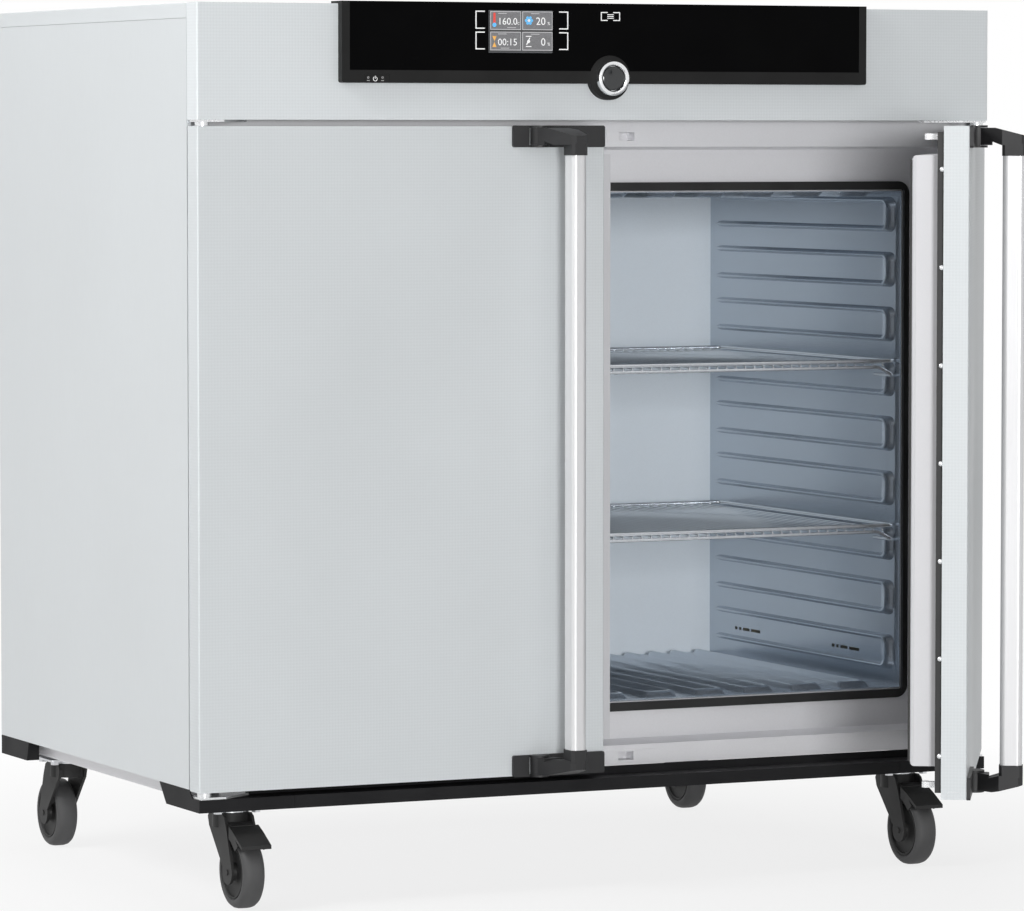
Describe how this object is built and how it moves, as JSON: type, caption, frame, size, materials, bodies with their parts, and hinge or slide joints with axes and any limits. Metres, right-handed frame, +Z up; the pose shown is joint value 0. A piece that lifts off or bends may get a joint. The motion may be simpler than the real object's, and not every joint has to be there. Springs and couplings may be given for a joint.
{
  "type": "forced air laboratory oven",
  "caption": "Stainless steel drying oven on casters with hinged insulated doors, a black control panel, a ribbed chamber, wire shelves and a rear fan.",
  "frame": {"origin": "on the floor, under the middle of the whole part's box, with the left door closed and the right door as far open as in the picture", "axes": "+X to the right of someone who faces the doors, +Y to the rear, +Z up"},
  "size_m": [1.2276, 1.3118, 1.2355],
  "materials": {
    "casing_steel": "pale satin stainless steel",
    "door_steel": "pale stainless steel with fine linen embossing",
    "chamber_steel": "plain stainless steel, ribbed",
    "frame_steel": "satin stainless steel",
    "bright_wire": "electropolished steel wire",
    "black_plastic": "matt black",
    "handle_metal": "light satin aluminium",
    "latch_steel": "bright",
    "black_rubber": "matt black seal",
    "black_glass": "gloss black",
    "display": "display behind glass",
    "ring_metal": "satin",
    "key_black": "gloss black",
    "black_paint": "black powder coat",
    "zinc_steel": "zinc plated",
    "wool": "mineral wool",
    "motor_iron": "painted motor housing",
    "tread": "dark grey caster wheel",
    "grey_plastic": "dark grey"
  },
  "bodies": {
    "cabinet": {"side_panel_left": "casing_steel", "side_panel_right": "casing_steel", "top_cover": "casing_steel", "rear_panel": "casing_steel", "header_panel": "door_steel", "front_frame": "frame_steel", "mouth_gasket": "black_rubber", "strike_plates": "frame_steel", "hinge_brackets": "zinc_steel", "chamber_side_walls": "chamber_steel", "chamber_floor": "chamber_steel", "chamber_ceiling": "chamber_steel", "chamber_rear_wall": "chamber_steel", "fan_baffle": "chamber_steel", "fan_motor": "motor_iron", "heating_rods": "zinc_steel", "insulation": "wool", "plinth": "black_paint", "chassis": "zinc_steel", "caster_plates": "zinc_steel", "cockpit_housing": "black_plastic", "cockpit_glass": "black_glass", "control_unit": "display", "exhaust_outlet": "chamber_steel", "cord_gland": "grey_plastic"},
    "left_door": {"left_door_shell": "door_steel", "left_door_core": "wool", "left_door_plug": "frame_steel", "left_door_seals": "black_rubber", "left_door_bearings": "grey_plastic", "left_corner_caps": "black_plastic"},
    "left_handle": {"left_handle_bar": "handle_metal", "left_handle_arms": "black_plastic"},
    "left_latch": {"left_latches": "latch_steel"},
    "right_door": {"right_door_shell": "door_steel", "right_door_core": "wool", "right_door_plug": "frame_steel", "right_door_seals": "black_rubber", "right_door_bearings": "grey_plastic", "right_corner_caps": "black_plastic"},
    "right_handle": {"right_handle_bar": "handle_metal", "right_handle_arms": "black_plastic"},
    "right_latch": {"right_latches": "latch_steel"},
    "upper_shelf": {"shelf_upper": "bright_wire"},
    "lower_shelf": {"shelf_lower": "bright_wire"},
    "ring": {"turn_ring": "ring_metal"},
    "confirm_button": {"confirm_key": "key_black"},
    "power_button": {"power_key": "key_black"},
    "fan": {"fan_wheel": "chamber_steel"},
    "air_flap": {"exhaust_flap": "chamber_steel"},
    "caster_front_left": {"fork_front_left": "grey_plastic"},
    "roller_front_left": {"wheel_front_left": "tread"},
    "pedal_front_left": {"brake_front_left": "grey_plastic"},
    "caster_front_right": {"fork_front_right": "grey_plastic"},
    "roller_front_right": {"wheel_front_right": "tread"},
    "pedal_front_right": {"brake_front_right": "grey_plastic"},
    "caster_rear_left": {"fork_rear_left": "grey_plastic"},
    "roller_rear_left": {"wheel_rear_left": "tread"},
    "caster_rear_right": {"fork_rear_right": "grey_plastic"},
    "roller_rear_right": {"wheel_rear_right": "tread"}
  },
  "joints": [
    {"name": "left_door_hinge", "type": "hinge", "parent": "cabinet", "child": "left_door", "pos_m": [-0.6023, -0.14158, 0.61485], "axis": [0, 0, -1], "range_deg": [0, 170]},
    {"name": "right_door_hinge", "type": "hinge", "parent": "cabinet", "child": "right_door", "pos_m": [0.5987, -0.14158, 0.61485], "axis": [0, 0, 1], "range_deg": [-57.9, 112.1]},
    {"name": "left_handle_pull", "type": "hinge", "parent": "left_door", "child": "left_handle", "pos_m": [-0.1073, -0.16009, 0.61485], "axis": [0, 0, -1], "range_deg": [0, 25], "stiffness_Nm_per_rad": 2, "springref_deg": -11.46},
    {"name": "left_latch_turn", "type": "hinge", "parent": "left_door", "child": "left_latch", "pos_m": [-0.0573, -0.13109, 0.61485], "axis": [0, 0, -1], "range_deg": [0, 12]},
    {"name": "right_handle_pull", "type": "hinge", "parent": "right_door", "child": "right_handle", "pos_m": [0.35133, -0.57074, 0.61485], "axis": [0, 0, 1], "range_deg": [0, 25], "stiffness_Nm_per_rad": 2, "springref_deg": -11.46},
    {"name": "right_latch_turn", "type": "hinge", "parent": "right_door", "child": "right_latch", "pos_m": [0.30019, -0.59769, 0.61485], "axis": [0, 0, 1], "range_deg": [0, 12]},
    {"name": "upper_shelf_slide", "type": "slide", "parent": "cabinet", "child": "upper_shelf", "axis": [0, -1, 0], "range_m": [0, 0.01]},
    {"name": "lower_shelf_slide", "type": "slide", "parent": "cabinet", "child": "lower_shelf", "axis": [0, -1, 0], "range_m": [0, 0.01]},
    {"name": "ring_turn", "type": "hinge", "parent": "cabinet", "child": "ring", "pos_m": [-0.0018, -0.16609, 1.1318], "axis": [0, -1, 0], "continuous": true},
    {"name": "confirm_key_press", "type": "slide", "parent": "cabinet", "child": "confirm_button", "axis": [0, 1, 0], "range_m": [0, 0.0015], "stiffness_N_per_m": 600, "springref_m": -0.001},
    {"name": "power_key_press", "type": "slide", "parent": "cabinet", "child": "power_button", "axis": [0, 1, 0], "range_m": [0, 0.001], "stiffness_N_per_m": 600, "springref_m": -0.001},
    {"name": "fan_spin", "type": "hinge", "parent": "cabinet", "child": "fan", "pos_m": [-0.0018, 0.54812, 0.612], "axis": [0, 1, 0], "continuous": true},
    {"name": "air_flap_turn", "type": "hinge", "parent": "cabinet", "child": "air_flap", "pos_m": [-0.3818, 0.57812, 0.905], "axis": [1, 0, 0], "range_deg": [0, 90]},
    {"name": "front_left_swivel", "type": "hinge", "parent": "cabinet", "child": "caster_front_left", "pos_m": [-0.5388, -0.07909, 0.1282], "axis": [0, 0, 1], "continuous": true},
    {"name": "front_left_roll", "type": "hinge", "parent": "caster_front_left", "child": "roller_front_left", "pos_m": [-0.5388, -0.12108, 0.05], "axis": [1, 0, 0], "continuous": true},
    {"name": "front_left_brake_press", "type": "hinge", "parent": "caster_front_left", "child": "pedal_front_left", "pos_m": [-0.5388, -0.11109, 0.111], "axis": [1, 0, 0], "range_deg": [0, 6]},
    {"name": "front_right_swivel", "type": "hinge", "parent": "cabinet", "child": "caster_front_right", "pos_m": [0.5082, -0.07909, 0.1282], "axis": [0, 0, 1], "continuous": true},
    {"name": "front_right_roll", "type": "hinge", "parent": "caster_front_right", "child": "roller_front_right", "pos_m": [0.5082, -0.12108, 0.05], "axis": [1, 0, 0], "continuous": true},
    {"name": "front_right_brake_press", "type": "hinge", "parent": "caster_front_right", "child": "pedal_front_right", "pos_m": [0.5082, -0.11109, 0.111], "axis": [1, 0, 0], "range_deg": [0, 6]},
    {"name": "rear_left_swivel", "type": "hinge", "parent": "cabinet", "child": "caster_rear_left", "pos_m": [-0.5388, 0.55692, 0.1282], "axis": [0, 0, 1], "continuous": true},
    {"name": "rear_left_roll", "type": "hinge", "parent": "caster_rear_left", "child": "roller_rear_left", "pos_m": [-0.5388, 0.59891, 0.05], "axis": [1, 0, 0], "continuous": true},
    {"name": "rear_right_swivel", "type": "hinge", "parent": "cabinet", "child": "caster_rear_right", "pos_m": [0.5082, 0.55692, 0.1282], "axis": [0, 0, 1], "continuous": true},
    {"name": "rear_right_roll", "type": "hinge", "parent": "caster_rear_right", "child": "roller_rear_right", "pos_m": [0.5082, 0.59891, 0.05], "axis": [1, 0, 0], "continuous": true}
  ],
  "couplings": [
    {"joint": "left_latch_turn", "follows": "left_handle_pull", "ratio": 0.48},
    {"joint": "right_latch_turn", "follows": "right_handle_pull", "ratio": 0.48}
  ]
}
